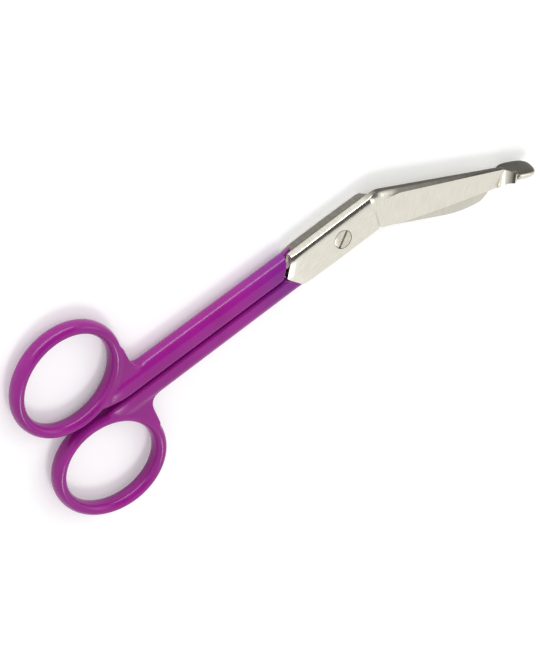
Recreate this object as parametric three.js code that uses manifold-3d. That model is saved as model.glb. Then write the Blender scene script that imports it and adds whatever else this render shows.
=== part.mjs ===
// Bandage scissors with angled blades: two forged steel halves crossing at a slotted screw,
// each with a finger ring and shank dipped in a plastic coating.
// Millimetres. X runs along the parting line from the rings to the blades, Z is the screw's axis,
// and the origin is where that axis meets the underside of the joint.
// The rings' halves are one shape turned half a turn about X. Each half is first drawn about the
// plane where the two steel halves meet, and the whole is lifted by half the joint's thickness.

import * as THREE from "three";
import { mergeVertices } from "three/addons/utils/BufferGeometryUtils.js";
import Module from "manifold-3d";

const wasm = await Module();
wasm.setup();

// ---------- driving dimensions ----------

const JOINT_HALF_THICKNESS = 2.8; // one steel half at the screw
const JOINT_HALF_WIDTH = 4.4;
const MATING_GAP = 0.2; // between the flat faces of the two halves
const JOINT_APEX_X = -16.3; // where the joint's pointed end meets the parting line
const JOINT_CORNER_X = -13.0; // where it meets the joint's side

const SCREW_HEAD_RADIUS = 2.25;
const SCREW_HEAD_DEPTH = 0.9; // the straight rim of the head
const SCREW_CONE_DEPTH = 0.8;
const SCREW_SHANK_RADIUS = 1.5;
const SCREW_CLEARANCE = 0.08;
const SCREW_SLOT_WIDTH = 0.6;
const SCREW_SLOT_DEPTH = 0.8;
const SCREW_SLOT_ANGLE = 40; // degrees from X

const BLADE_ANGLE = 29; // degrees that the blades bend down from X
const BLADE_SPINE = 10.05; // probe spine, across the blades from their base line
const HEEL_X = 9.7; // where the ground faces start, on the parting line
const HEEL_LEAN = 6; // degrees that the heel line leans from straight across
const HEEL_RUN = 1.6; // length of the slope down to the ground face
const FACE_HEIGHT = 1.245; // the ground face's height on the base line, at the screw
const FACE_FALL = 0.0412; // its fall for each millimetre along the blades
const FACE_RISE = 0.197; // its rise for each millimetre towards the spine
const PROBE_BLADE_END = 48.2; // along the blades
const BLUNT_BLADE_END = 43.6;

const PAD_CENTRE = { along: 50.2, across: 8.45, up: 0.25 };
const PAD_HALF_LENGTH = 5.1;
const PAD_HALF_WIDTH = 3.0;
const PAD_HALF_THICKNESS = 1.15;
const PAD_SQUARENESS = 3; // power of the pad's oval: 2 is an ellipse
const PAD_TILT = 15; // degrees about the blades' length
const PAD_NECK_LENGTH = 1.9; // where the blade flares out to the pad

const RING_CENTRE_X = -72.6;
const RING_CENTRE_Y = 13.45;
const RING_HALF_LENGTH = 13.2; // to the middle of the bow
const RING_HALF_WIDTH = 11.65;
const RING_TILT = 18.5; // degrees that the front of the ring splays outward
const BOW_HALF_WIDTH = 1.55; // in the plane of the rings
const BOW_HALF_HEIGHT = 2.35;

const SHANK_TAIL_X = RING_CENTRE_X + 1.6; // where the shank has run out into the ring
const SHANK_TAIL_WIDTH = 2.4;
const SHANK_REAR_X = RING_CENTRE_X + 10.6;
const SHANK_REAR_WIDTH = 5.15; // from the parting line
const SHANK_FRONT_WIDTH = 4.9;
const SHANK_HALF_HEIGHT = 2.7;
const SHANK_INNER_RADIUS = 0.9;
const SHANK_OUTER_RADIUS = 2.1;
const PARTING_GAP = 0.3; // between the two coated shanks
const WEB_HALF_HEIGHT = 2.0; // the fill between a ring and its shank
const WEB_FILLET_RADIUS = 2.4;
const END_GAP = 0.9; // from a coated shank's end to the joint of the other half

const COAT_WALL = 0.5;
const COAT_FIT = 0.25; // clearance between the coating and the steel in it
const COAT_END_GAP = 0.1; // from the coating's lip to the joint's edge

const RING_SIDES = 48;
const BOW_SIDES = 12;
const ROUND_SIDES = 36;
const CORNER_STEPS = 4;
const FAR = 200; // larger than the scissors, for cutting blocks

// ---------- colours ----------

const steelMaterial = new THREE.MeshStandardMaterial({ color: 0xdcd8cc, roughness: 0.3, metalness: 1 });
const screwMaterial = new THREE.MeshStandardMaterial({ color: 0xd2cec4, roughness: 0.35, metalness: 1 });
const coatMaterial = new THREE.MeshStandardMaterial({ color: 0x992491, roughness: 0.2, metalness: 0 });

// ---------- solids ----------

function toSolid(geometry) {
  const bare = new THREE.BufferGeometry();
  bare.setAttribute("position", geometry.getAttribute("position"));
  if (geometry.index) bare.setIndex(geometry.index);
  const merged = mergeVertices(bare, 1e-4);
  return new wasm.Manifold(
    new wasm.Mesh({
      numProp: 3,
      vertProperties: new Float32Array(merged.attributes.position.array),
      triVerts: new Uint32Array(merged.index.array),
    }),
  );
}

function toMesh(name, solid, material) {
  const source = solid.getMesh();
  const geometry = new THREE.BufferGeometry();
  geometry.setAttribute("position", new THREE.BufferAttribute(source.vertProperties, 3));
  geometry.setIndex(new THREE.BufferAttribute(source.triVerts, 1));
  geometry.computeVertexNormals();
  const mesh = new THREE.Mesh(geometry, material);
  mesh.name = name;
  return mesh;
}

const joined = (solids) => solids.reduce((sum, solid) => sum.add(solid));

// A flat plate with the given outline, from height low to height high.
function plate(outline, low, high) {
  const shape = new THREE.Shape(outline);
  const geometry = new THREE.ExtrudeGeometry(shape, { depth: high - low, bevelEnabled: false });
  geometry.translate(0, 0, low);
  return toSolid(geometry);
}

// A solid through a row of sections with equal point counts; closed joins the last to the first.
function loft(sections, closed) {
  const sides = sections[0].length;
  const positions = sections.flat().flatMap((p) => [p.x, p.y, p.z]);
  const index = [];
  const rows = closed ? sections.length : sections.length - 1;
  for (let row = 0; row < rows; row++) {
    const here = row * sides;
    const next = ((row + 1) % sections.length) * sides;
    for (let i = 0; i < sides; i++) {
      const j = (i + 1) % sides;
      index.push(here + i, here + j, next + j, here + i, next + j, next + i);
    }
  }
  if (!closed) {
    const last = (sections.length - 1) * sides;
    for (let i = 1; i < sides - 1; i++) {
      index.push(0, i + 1, i, last, last + i, last + i + 1);
    }
  }
  const geometry = new THREE.BufferGeometry();
  geometry.setAttribute("position", new THREE.Float32BufferAttribute(positions, 3));
  geometry.setIndex(index);
  const solid = toSolid(geometry);
  if (solid.volume() > 0) return solid;
  for (let i = 0; i < index.length; i += 3) [index[i], index[i + 1]] = [index[i + 1], index[i]];
  geometry.setIndex(index);
  return toSolid(geometry);
}

// Points round an arc, in degrees.
function arc(x, y, radius, from, to, steps) {
  return Array.from({ length: steps + 1 }, (_, i) => {
    const angle = THREE.MathUtils.degToRad(from + ((to - from) * i) / steps);
    return new THREE.Vector2(x + radius * Math.cos(angle), y + radius * Math.sin(angle));
  });
}

// Turned half a turn about X, which takes the blunt half's handle to the probe half's.
const halfTurn = (solid) => solid.rotate([180, 0, 0]);

// ---------- handle: ring, web and shank, drawn on the +Y side ----------

// The bow is a tube with an oval section, carried round a tilted oval.
function bow(inset) {
  const tilt = THREE.MathUtils.degToRad(RING_TILT);
  const origin = new THREE.Vector2(0, 0);
  const sections = [];
  for (let i = 0; i < RING_SIDES; i++) {
    const turn = (2 * Math.PI * i) / RING_SIDES;
    const point = ringPoint(turn);
    const outward = new THREE.Vector2(
      RING_HALF_WIDTH * Math.cos(turn),
      RING_HALF_LENGTH * Math.sin(turn),
    );
    outward.normalize().rotateAround(origin, tilt);
    sections.push(
      Array.from({ length: BOW_SIDES }, (_, k) => {
        const angle = (2 * Math.PI * k) / BOW_SIDES;
        const out = (BOW_HALF_WIDTH - inset) * Math.cos(angle);
        const up = (BOW_HALF_HEIGHT - inset) * Math.sin(angle);
        return new THREE.Vector3(point.x + out * outward.x, point.y + out * outward.y, up);
      }),
    );
  }
  return loft(sections, true);
}

// A point on the middle line of the bow, at a turn in radians from the ring's long axis.
function ringPoint(turn) {
  const centre = new THREE.Vector2(RING_CENTRE_X, RING_CENTRE_Y);
  const point = new THREE.Vector2(
    RING_CENTRE_X + RING_HALF_LENGTH * Math.cos(turn),
    RING_CENTRE_Y + RING_HALF_WIDTH * Math.sin(turn),
  );
  return point.rotateAround(centre, THREE.MathUtils.degToRad(RING_TILT));
}

// The shank's section: flat beside the parting line, round on the outside.
function shankSection(x, width, height, inset) {
  const near = PARTING_GAP / 2 + inset;
  const far = width - inset;
  const top = height - inset;
  const thin = width / SHANK_REAR_WIDTH;
  const inner = (SHANK_INNER_RADIUS - inset * 0.9) * Math.min(thin, 1);
  const outer = (SHANK_OUTER_RADIUS - inset) * Math.min(thin, 1);
  const corners = [
    [far - outer, top - outer, outer, 0, 90],
    [near + inner, top - inner, inner, 90, 180],
    [near + inner, inner - top, inner, 180, 270],
    [far - outer, outer - top, outer, 270, 360],
  ];
  return corners
    .flatMap(([y, z, radius, from, to]) => arc(y, z, radius, from, to, CORNER_STEPS))
    .map((p) => new THREE.Vector3(x, p.x, p.y));
}

function shank(inset, frontX) {
  const slope = (SHANK_FRONT_WIDTH - SHANK_REAR_WIDTH) / (JOINT_APEX_X - SHANK_REAR_X);
  const frontWidth = SHANK_REAR_WIDTH + slope * (frontX - SHANK_REAR_X);
  return loft(
    [
      shankSection(SHANK_TAIL_X + 2 * inset, SHANK_TAIL_WIDTH, WEB_HALF_HEIGHT, inset),
      shankSection(SHANK_REAR_X, SHANK_REAR_WIDTH, SHANK_HALF_HEIGHT, inset),
      shankSection(frontX, frontWidth, SHANK_HALF_HEIGHT, inset),
    ],
    false,
  );
}

// The fill between the bow and the shank, with a round corner on the outside.
function web(inset) {
  const half = WEB_HALF_HEIGHT - inset;
  const touch = 1.48; // turns, as shares of pi, between the ring's nearest and front points
  const front = 1.92;
  const edge = Array.from({ length: 13 }, (_, i) => {
    return ringPoint(Math.PI * (touch + ((front - touch) * i) / 12));
  });
  const radius = WEB_FILLET_RADIUS + inset;
  const ringFront = Math.max(...edge.map((p) => p.x)) + BOW_HALF_WIDTH - inset;
  const shankSide = SHANK_REAR_WIDTH - inset - SHANK_OUTER_RADIUS * 0.4;
  const corner = arc(ringFront + radius, shankSide + radius, radius, 180, 270, 6);
  const near = PARTING_GAP / 2 + inset;
  const outline = [
    ...edge,
    ...corner,
    new THREE.Vector2(ringFront + radius, near + SHANK_INNER_RADIUS),
    new THREE.Vector2(SHANK_REAR_X, near),
    new THREE.Vector2(edge[0].x + 2 * BOW_HALF_WIDTH + 3 * inset, near),
  ];
  return plate(outline, -half, half);
}

const handle = (inset, frontX) => joined([bow(inset), web(inset), shank(inset, frontX)]);

// ---------- where the handle stops at the joint ----------

// Everything on the ring side of the joint's slanted shoulder, moved back by a set distance.
function ringSide(back, low, high) {
  const shoulder = new THREE.Vector2(JOINT_CORNER_X - JOINT_APEX_X, JOINT_HALF_WIDTH);
  const along = shoulder.clone().normalize();
  const start = new THREE.Vector2(JOINT_APEX_X - back * along.y, back * along.x);
  const top = start.clone().addScaledVector(along, FAR);
  const foot = start.clone().addScaledVector(along, -FAR);
  const outline = [
    foot,
    top,
    new THREE.Vector2(top.x - FAR * 2, top.y),
    new THREE.Vector2(foot.x - FAR * 2, foot.y),
  ];
  return plate(outline, low, high);
}

// Full height as far as the other half's joint, and only the lower half under it.
function steppedHandle(inset, lowFront, stepHeight) {
  const body = handle(inset, JOINT_CORNER_X + END_GAP);
  const upper = ringSide(END_GAP + inset, -FAR, FAR);
  const lower = ringSide(lowFront, -FAR, stepHeight);
  return body.intersect(upper.add(lower));
}

const coatOuter = () => steppedHandle(0, COAT_END_GAP, -MATING_GAP / 2);
const coatHollow = () => steppedHandle(COAT_WALL, -END_GAP * 2, COAT_FIT - MATING_GAP / 2);
const handleCore = () => steppedHandle(COAT_WALL + COAT_FIT, -END_GAP * 2, -MATING_GAP / 2);
const handleCoating = () => coatOuter().subtract(coatHollow());

// ---------- blades, drawn along the blades' own axes and turned into place ----------

const bladeAngle = THREE.MathUtils.degToRad(BLADE_ANGLE);

function bladePoint(along, across) {
  return new THREE.Vector2(along, across).rotateAround(new THREE.Vector2(0, 0), -bladeAngle);
}

// How far along the blades a line across at a set distance meets the joint's side.
function alongAtSide(across, side) {
  return (across * Math.cos(bladeAngle) - side) / Math.sin(bladeAngle);
}

// The outline of the joint and blade of the upper, probe half.
function probeOutline() {
  const w = JOINT_HALF_WIDTH;
  return [
    new THREE.Vector2(JOINT_APEX_X, 0),
    new THREE.Vector2(JOINT_CORNER_X, -w),
    new THREE.Vector2(HEEL_X, -w),
    bladePoint(12.5, 0),
    bladePoint(25, 1.05),
    bladePoint(35, 2.55),
    bladePoint(43, 4.3),
    bladePoint(PROBE_BLADE_END, 5.0),
    bladePoint(PROBE_BLADE_END, BLADE_SPINE - PAD_HALF_THICKNESS),
    bladePoint(PROBE_BLADE_END - PAD_NECK_LENGTH, BLADE_SPINE),
    bladePoint(alongAtSide(BLADE_SPINE, w) + 2, BLADE_SPINE),
    bladePoint(alongAtSide(BLADE_SPINE, w) - 0.4, BLADE_SPINE - 0.9),
    new THREE.Vector2(JOINT_CORNER_X, w),
  ];
}

// The outline of the joint and blade of the lower, blunt half.
function bluntOutline() {
  const w = JOINT_HALF_WIDTH;
  return [
    new THREE.Vector2(JOINT_APEX_X, 0),
    new THREE.Vector2(JOINT_CORNER_X, -w),
    bladePoint(alongAtSide(-0.15, -w), -0.15),
    bladePoint(31, -0.15),
    bladePoint(36.5, 0.45),
    bladePoint(41, 1.75),
    bladePoint(BLUNT_BLADE_END, 4.6),
    bladePoint(BLUNT_BLADE_END, 6.0),
    bladePoint(15, 9.2),
    bladePoint(11, 8.9),
    new THREE.Vector2(HEEL_X + 1.0, w - 0.6),
    new THREE.Vector2(HEEL_X - 0.2, w),
    new THREE.Vector2(JOINT_CORNER_X, w),
  ];
}

// The ground face's height over the mating plane; across is measured from the cutting side.
const faceHeight = (along, across) => FACE_HEIGHT - FACE_FALL * along + FACE_RISE * across;
const probeFace = (along, across) => faceHeight(along, across);
const bluntFace = (along, across) => faceHeight(along, BLADE_SPINE - across);

// The block that grinding takes off a blade: over its face, ahead of the sloping heel.
// side is 1 for the upper, probe blade and -1 for the lower, blunt one.
function grindingCut(face, side) {
  const top = JOINT_HALF_THICKNESS + 4;
  const section = (y) => {
    const heel = HEEL_X + y * Math.tan(THREE.MathUtils.degToRad(HEEL_LEAN));
    const foot = heel + HEEL_RUN;
    const end = PROBE_BLADE_END + PAD_HALF_LENGTH;
    const faceAt = (x) => {
      const p = new THREE.Vector2(x, y).rotateAround(new THREE.Vector2(0, 0), bladeAngle);
      return face(p.x, p.y);
    };
    const drop = JOINT_HALF_THICKNESS - faceAt(foot);
    const lean = (HEEL_RUN * (top - JOINT_HALF_THICKNESS)) / drop;
    return [
      new THREE.Vector3(foot, y, side * faceAt(foot)),
      new THREE.Vector3(end, y, side * faceAt(end)),
      new THREE.Vector3(end, y, side * top),
      new THREE.Vector3(heel - lean, y, side * top),
    ];
  };
  return loft([section(-PROBE_BLADE_END / 2 - BLADE_SPINE), section(JOINT_HALF_WIDTH + 1)], false);
}

// The flattened button that slides under a bandage: a lens with a squared oval outline.
function padButton() {
  const geometry = new THREE.SphereGeometry(1, 28, 16);
  const position = geometry.getAttribute("position");
  for (let i = 0; i < position.count; i++) {
    const x = position.getX(i);
    const z = position.getZ(i);
    const round = Math.hypot(x, z);
    const squared = (Math.abs(x) ** PAD_SQUARENESS + Math.abs(z) ** PAD_SQUARENESS) ** (1 / PAD_SQUARENESS);
    const grow = squared > 1e-6 ? round / squared : 1;
    position.setX(i, x * grow);
    position.setZ(i, z * grow);
  }
  geometry.scale(PAD_HALF_LENGTH, PAD_HALF_THICKNESS, PAD_HALF_WIDTH);
  geometry.rotateX(THREE.MathUtils.degToRad(PAD_TILT));
  geometry.translate(PAD_CENTRE.along, PAD_CENTRE.across, PAD_CENTRE.up);
  return toSolid(geometry);
}

// The neck widens from the end of the blade to the width of the button.
function padNeck() {
  const section = (along, near, far, low, high) => [
    new THREE.Vector3(along, near, low),
    new THREE.Vector3(along, far, low),
    new THREE.Vector3(along, far, high),
    new THREE.Vector3(along, near, high),
  ];
  const start = PROBE_BLADE_END - PAD_NECK_LENGTH;
  const near = PAD_CENTRE.across - PAD_HALF_THICKNESS;
  const far = BLADE_SPINE - 0.2;
  const low = PAD_CENTRE.up - PAD_HALF_WIDTH * 0.9;
  const high = PAD_CENTRE.up + PAD_HALF_WIDTH * 0.9;
  const shrink = PAD_HALF_THICKNESS * 0.6;
  return loft(
    [
      section(start, near - shrink, far, MATING_GAP / 2, faceHeight(start, near)),
      section(PROBE_BLADE_END, near - shrink, far - shrink, low, high),
      section(PAD_CENTRE.along, near + shrink, far - 2 * shrink, low + 1, high - 1),
    ],
    false,
  );
}

const pad = () => padButton().add(padNeck()).rotate([0, 0, -BLADE_ANGLE]);

// ---------- screw ----------

// Radius and height pairs from the axis at the end face up to the rim of the head.
function screwProfile(extra, overrun) {
  const top = JOINT_HALF_THICKNESS;
  const rim = top - SCREW_HEAD_DEPTH;
  return [
    new THREE.Vector2(0, -top - overrun),
    new THREE.Vector2(SCREW_SHANK_RADIUS + extra, -top - overrun),
    new THREE.Vector2(SCREW_SHANK_RADIUS + extra, rim - SCREW_CONE_DEPTH - extra),
    new THREE.Vector2(SCREW_HEAD_RADIUS + extra, rim - extra),
    new THREE.Vector2(SCREW_HEAD_RADIUS + extra, top + overrun),
    new THREE.Vector2(0, top + overrun),
  ];
}

function turnedOnZ(profile) {
  const geometry = new THREE.LatheGeometry(profile, ROUND_SIDES);
  geometry.rotateX(Math.PI / 2);
  return toSolid(geometry);
}

function screw() {
  const slot = new THREE.BoxGeometry(4 * SCREW_HEAD_RADIUS, SCREW_SLOT_WIDTH, 2 * SCREW_SLOT_DEPTH);
  slot.rotateZ(THREE.MathUtils.degToRad(SCREW_SLOT_ANGLE));
  slot.translate(0, 0, JOINT_HALF_THICKNESS);
  return turnedOnZ(screwProfile(0, 0)).subtract(toSolid(slot));
}

const screwHole = () => turnedOnZ(screwProfile(SCREW_CLEARANCE, 1));

// ---------- the two steel halves ----------

function probeHalf() {
  const body = plate(probeOutline(), MATING_GAP / 2, JOINT_HALF_THICKNESS);
  const forged = body.subtract(grindingCut(probeFace, 1));
  return joined([forged, pad(), halfTurn(handleCore())]).subtract(screwHole());
}

function bluntHalf() {
  const body = plate(bluntOutline(), -JOINT_HALF_THICKNESS, -MATING_GAP / 2);
  const forged = body.subtract(grindingCut(bluntFace, -1));
  return joined([forged, handleCore()]).subtract(screwHole());
}

// ---------- assembly ----------

const scissors = new THREE.Group();
scissors.position.z = JOINT_HALF_THICKNESS;
scissors.add(toMesh("probe_half", probeHalf(), steelMaterial));
scissors.add(toMesh("blunt_half", bluntHalf(), steelMaterial));
scissors.add(toMesh("pivot_screw", screw(), screwMaterial));
scissors.add(toMesh("probe_handle_coating", halfTurn(handleCoating()), coatMaterial));
scissors.add(toMesh("blunt_handle_coating", handleCoating(), coatMaterial));

export default scissors;
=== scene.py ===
# %% [markdown]
# Bandage scissors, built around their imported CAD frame.
# Two steel halves turn on one screw. Each half carries a blade, and a finger ring that was dipped
# in glossy plastic. Every shape below is worked out in millimetres over the mating plane, the level
# where the two halves slide on each other, because that is how a toolmaker would measure them.
# One function at the end of each shape lifts it to the frame's height and turns it into metres.

# %% the frame
import math
import bpy
import numpy as np
from mathutils import Matrix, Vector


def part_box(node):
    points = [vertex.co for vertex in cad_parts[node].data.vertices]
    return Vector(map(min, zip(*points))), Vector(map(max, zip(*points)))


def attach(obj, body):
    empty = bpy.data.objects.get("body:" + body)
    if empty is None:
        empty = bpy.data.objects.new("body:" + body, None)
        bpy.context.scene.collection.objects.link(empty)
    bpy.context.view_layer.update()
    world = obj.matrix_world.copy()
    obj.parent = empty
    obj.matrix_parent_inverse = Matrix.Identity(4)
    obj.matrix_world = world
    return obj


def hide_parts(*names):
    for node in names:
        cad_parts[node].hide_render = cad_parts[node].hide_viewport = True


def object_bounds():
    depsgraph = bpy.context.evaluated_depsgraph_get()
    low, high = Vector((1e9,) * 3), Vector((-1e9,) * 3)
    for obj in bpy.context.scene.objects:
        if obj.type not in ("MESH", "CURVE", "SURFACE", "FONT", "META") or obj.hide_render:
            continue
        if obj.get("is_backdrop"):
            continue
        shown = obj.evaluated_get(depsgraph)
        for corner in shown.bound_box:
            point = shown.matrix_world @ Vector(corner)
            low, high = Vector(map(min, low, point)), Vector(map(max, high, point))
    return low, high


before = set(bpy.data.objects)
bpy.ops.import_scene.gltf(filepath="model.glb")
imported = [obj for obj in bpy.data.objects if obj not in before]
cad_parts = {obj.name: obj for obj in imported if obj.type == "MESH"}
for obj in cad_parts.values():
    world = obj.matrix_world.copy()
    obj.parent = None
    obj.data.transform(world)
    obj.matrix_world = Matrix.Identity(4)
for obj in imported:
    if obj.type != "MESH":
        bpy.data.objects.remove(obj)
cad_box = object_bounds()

MM = 0.001
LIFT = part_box("pivot_screw")[1].z / 2  # the mating plane's height over the rest plane, in metres
print("mating plane at", round(LIFT / MM, 2), "mm")

# %% [markdown]
# The camera looks down on the scissors from behind the finger rings, over the spine of the blades.
# It is a long lens far away, so the two rings look nearly the same size. Its three axes are written
# out, because the view is also turned a little in its own plane.

# %% camera
camera_data = bpy.data.cameras.new("camera")
camera_data.lens = 172.8
camera_data.sensor_width = 36.0
camera_data.clip_start = 0.01
camera_data.clip_end = 10.0
camera = bpy.data.objects.new("camera", camera_data)
bpy.context.scene.collection.objects.link(camera)
camera_right = (0.7751, -0.3265, 0.5410)
camera_up = (0.5821, 0.7020, -0.4103)
camera_back = (-0.2459, 0.6329, 0.7341)
camera_place = (-0.2058, 0.4547, 0.5437)
axes = Matrix((camera_right, camera_up, camera_back)).transposed().to_4x4()
camera.matrix_world = Matrix.Translation(camera_place) @ axes
bpy.context.scene.camera = camera
bpy.context.scene.view_settings.view_transform = "Standard"
print("camera", [round(v, 3) for v in camera_place])

# %% [markdown]
# Every surface below is a stack of rings: each ring is one closed section of the piece, and the
# stack follows the piece's length. The helper joins each ring to the next, and either closes the
# two ends with a flat cap or joins the last ring to the first, as on a hoop.

# %% stacks of rings
def ring_faces(rows, columns, hoop):
    """Four-sided faces between neighbouring rings: point k of row i joins points k and k + 1 of
    rows i and i + 1. A hoop's last row joins its first; otherwise each end is one flat face."""
    start = np.arange(rows if hoop else rows - 1)[:, None] * columns
    here = np.arange(columns)[None, :]
    after = (here + 1) % columns
    above = (start + columns) % (rows * columns)
    quads = np.stack([start + here, start + after, above + after, above + here], axis=-1)
    faces = quads.reshape(-1, 4).tolist()
    if not hoop:
        faces.append(list(range(columns))[::-1])
        faces.append(list(range((rows - 1) * columns, rows * columns)))
    return faces


def signed_volume(points, faces):
    """Six times the volume, added up from the tetrahedra between the origin and each face's fan."""
    total = 0.0
    for corners in {len(f) for f in faces}:
        group = points[np.array([f for f in faces if len(f) == corners])]
        for k in range(1, corners - 1):
            cross = np.cross(group[:, k], group[:, k + 1])
            total += (group[:, 0] * cross).sum()
    return total


def stack(rings, hoop=False):
    """Points and outward faces of a closed surface through an array of rings (rows, columns, 3)."""
    rows, columns = rings.shape[:2]
    points = rings.reshape(-1, 3)
    faces = ring_faces(rows, columns, hoop)
    if signed_volume(points, faces) < 0:
        faces = [face[::-1] for face in faces]
    return points, faces


def gathered(shells):
    """Several closed surfaces as one list of points and one list of faces."""
    points = []
    faces = []
    count = 0
    for shell_points, shell_faces in shells:
        points.append(shell_points)
        faces.extend([[corner + count for corner in face] for face in shell_faces])
        count += len(shell_points)
    return np.concatenate(points), faces


def half_turn(shell):
    """The same surface turned half a turn about X: the two halves of the scissors share a handle."""
    points, faces = shell
    return points * np.array([1.0, -1.0, -1.0]), faces


# %% from millimetres to a Blender object
def raw_object(name, shell):
    """An object that still holds millimetres, for the modifiers that finish it."""
    points, faces = shell
    mesh = bpy.data.meshes.new(name)
    mesh.from_pydata(points.tolist(), [], faces)
    mesh.update()
    piece = bpy.data.objects.new(name, mesh)
    bpy.context.scene.collection.objects.link(piece)
    return piece


def settled(piece, crease_degrees):
    """Applies the piece's modifiers, lifts it to the frame's height and puts it in metres.
    Edges sharper than crease_degrees stay crisp, and the rest is shaded smooth."""
    graph = bpy.context.evaluated_depsgraph_get()
    mesh = bpy.data.meshes.new_from_object(piece.evaluated_get(graph))
    piece.modifiers.clear()
    piece.data = mesh
    mesh.transform(Matrix.Translation((0, 0, LIFT)) @ Matrix.Scale(MM, 4))
    mesh.shade_smooth()
    mesh.set_sharp_from_angle(angle=math.radians(crease_degrees))
    mesh.update()
    print(piece.name, len(mesh.vertices), "points,", len(mesh.polygons), "faces")
    return piece


def removed(piece):
    """Deletes a helper object, such as a cutter, once its work is done."""
    bpy.data.objects.remove(piece, do_unlink=True)


def cut(piece, cutter):
    """Takes the cutter's volume out of the piece."""
    boolean = piece.modifiers.new("cut", "BOOLEAN")
    boolean.operation = "DIFFERENCE"
    boolean.solver = "EXACT"
    boolean.use_self = True
    boolean.object = cutter


# %% [markdown]
# The handle is one forged bar. It starts at the joint as a straight shank, and ends in a finger
# ring whose bow is thicker up and down than across. The crotch between ring and shank is filled
# by a thinner web. The whole of it is dipped in soft plastic, which rounds every corner.
# It could be one subdivision surface, but a smooth web between a hoop and a bar is hard to draw as
# a cage. So each part is its own surface, and a voxel remesh melts them into one skin, much as the
# dip does. A few smoothing steps then give the crotch its soft valley.

# %% the bow of the finger ring
RING_CENTRE = np.array([-72.6, 13.45])
RING_HALF_LENGTH = 13.2
RING_HALF_WIDTH = 11.65
RING_TILT = math.radians(18.5)
BOW_HALF_WIDTH = 1.55
BOW_HALF_HEIGHT = 2.35
tilt = np.array([[math.cos(RING_TILT), math.sin(RING_TILT)], [-math.sin(RING_TILT), math.cos(RING_TILT)]])


def ring_line(turn):
    """A point of the bow's middle line: an ellipse, tilted about its centre."""
    flat = np.stack([RING_HALF_LENGTH * np.cos(turn), RING_HALF_WIDTH * np.sin(turn)], axis=-1)
    return RING_CENTRE + flat @ tilt


def bow(turns=200, sides=40):
    """An oval section carried round the tilted ellipse: its width lies along the ellipse's outward
    normal, and its height is upright."""
    turn = np.linspace(0, 2 * np.pi, turns, endpoint=False)
    angle = np.linspace(0, 2 * np.pi, sides, endpoint=False)
    middle = ring_line(turn)
    outward = np.stack([RING_HALF_WIDTH * np.cos(turn), RING_HALF_LENGTH * np.sin(turn)], axis=-1)
    outward = outward / np.linalg.norm(outward, axis=1, keepdims=True) @ tilt
    reach = BOW_HALF_WIDTH * np.cos(angle)[None, :, None]
    flat = middle[:, None, :] + reach * outward[:, None, :]
    height = np.broadcast_to(BOW_HALF_HEIGHT * np.sin(angle)[None, :, None], flat.shape[:2] + (1,))
    return stack(np.concatenate([flat, height], axis=-1), hoop=True)


# %% the shank
SHANK_TAIL_X = -71.0
SHANK_REAR_X = -62.0
SHOULDER_TIP_X = -16.3
SHOULDER_SIDE_X = -13.0
JOINT_HALF_WIDTH = 4.4
PARTING = 0.15
SHANK_REAR_WIDTH = 5.15
SHANK_FRONT_WIDTH = 4.9
SHANK_HALF_HEIGHT = 2.7
SHANK_INNER_ROUND = 0.9
SHANK_OUTER_ROUND = 2.6
SHANK_TAIL_RISE = 0.9


def rounded_section(near, far, low, high, radii, steps=9):
    """The corners of a rounded box section, as (across, height) points: four quarter circles, with
    their own radii at the far top, near top, near bottom and far bottom. All inputs may be columns,
    one value per station."""
    quarter = np.linspace(0, np.pi / 2, steps)
    across = []
    height = []
    corners = ((far, high, radii[0], -1, -1, 0), (near, high, radii[1], 1, -1, 1),
               (near, low, radii[2], 1, 1, 2), (far, low, radii[3], -1, 1, 3))
    for side, level, radius, in_across, in_height, quarter_turn in corners:
        angle = quarter + quarter_turn * np.pi / 2
        across.append(side + radius * (in_across + np.cos(angle)))
        height.append(level + radius * (in_height + np.sin(angle)))
    return np.concatenate(across, axis=-1), np.concatenate(height, axis=-1)


def shoulder_x(across, back):
    """Where the joint's slanted shoulder lies at a distance across, moved back from the joint."""
    slant = np.hypot(JOINT_HALF_WIDTH, SHOULDER_SIDE_X - SHOULDER_TIP_X)
    run = (SHOULDER_SIDE_X - SHOULDER_TIP_X) / JOINT_HALF_WIDTH
    return SHOULDER_TIP_X + run * across - back * slant / JOINT_HALF_WIDTH


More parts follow.
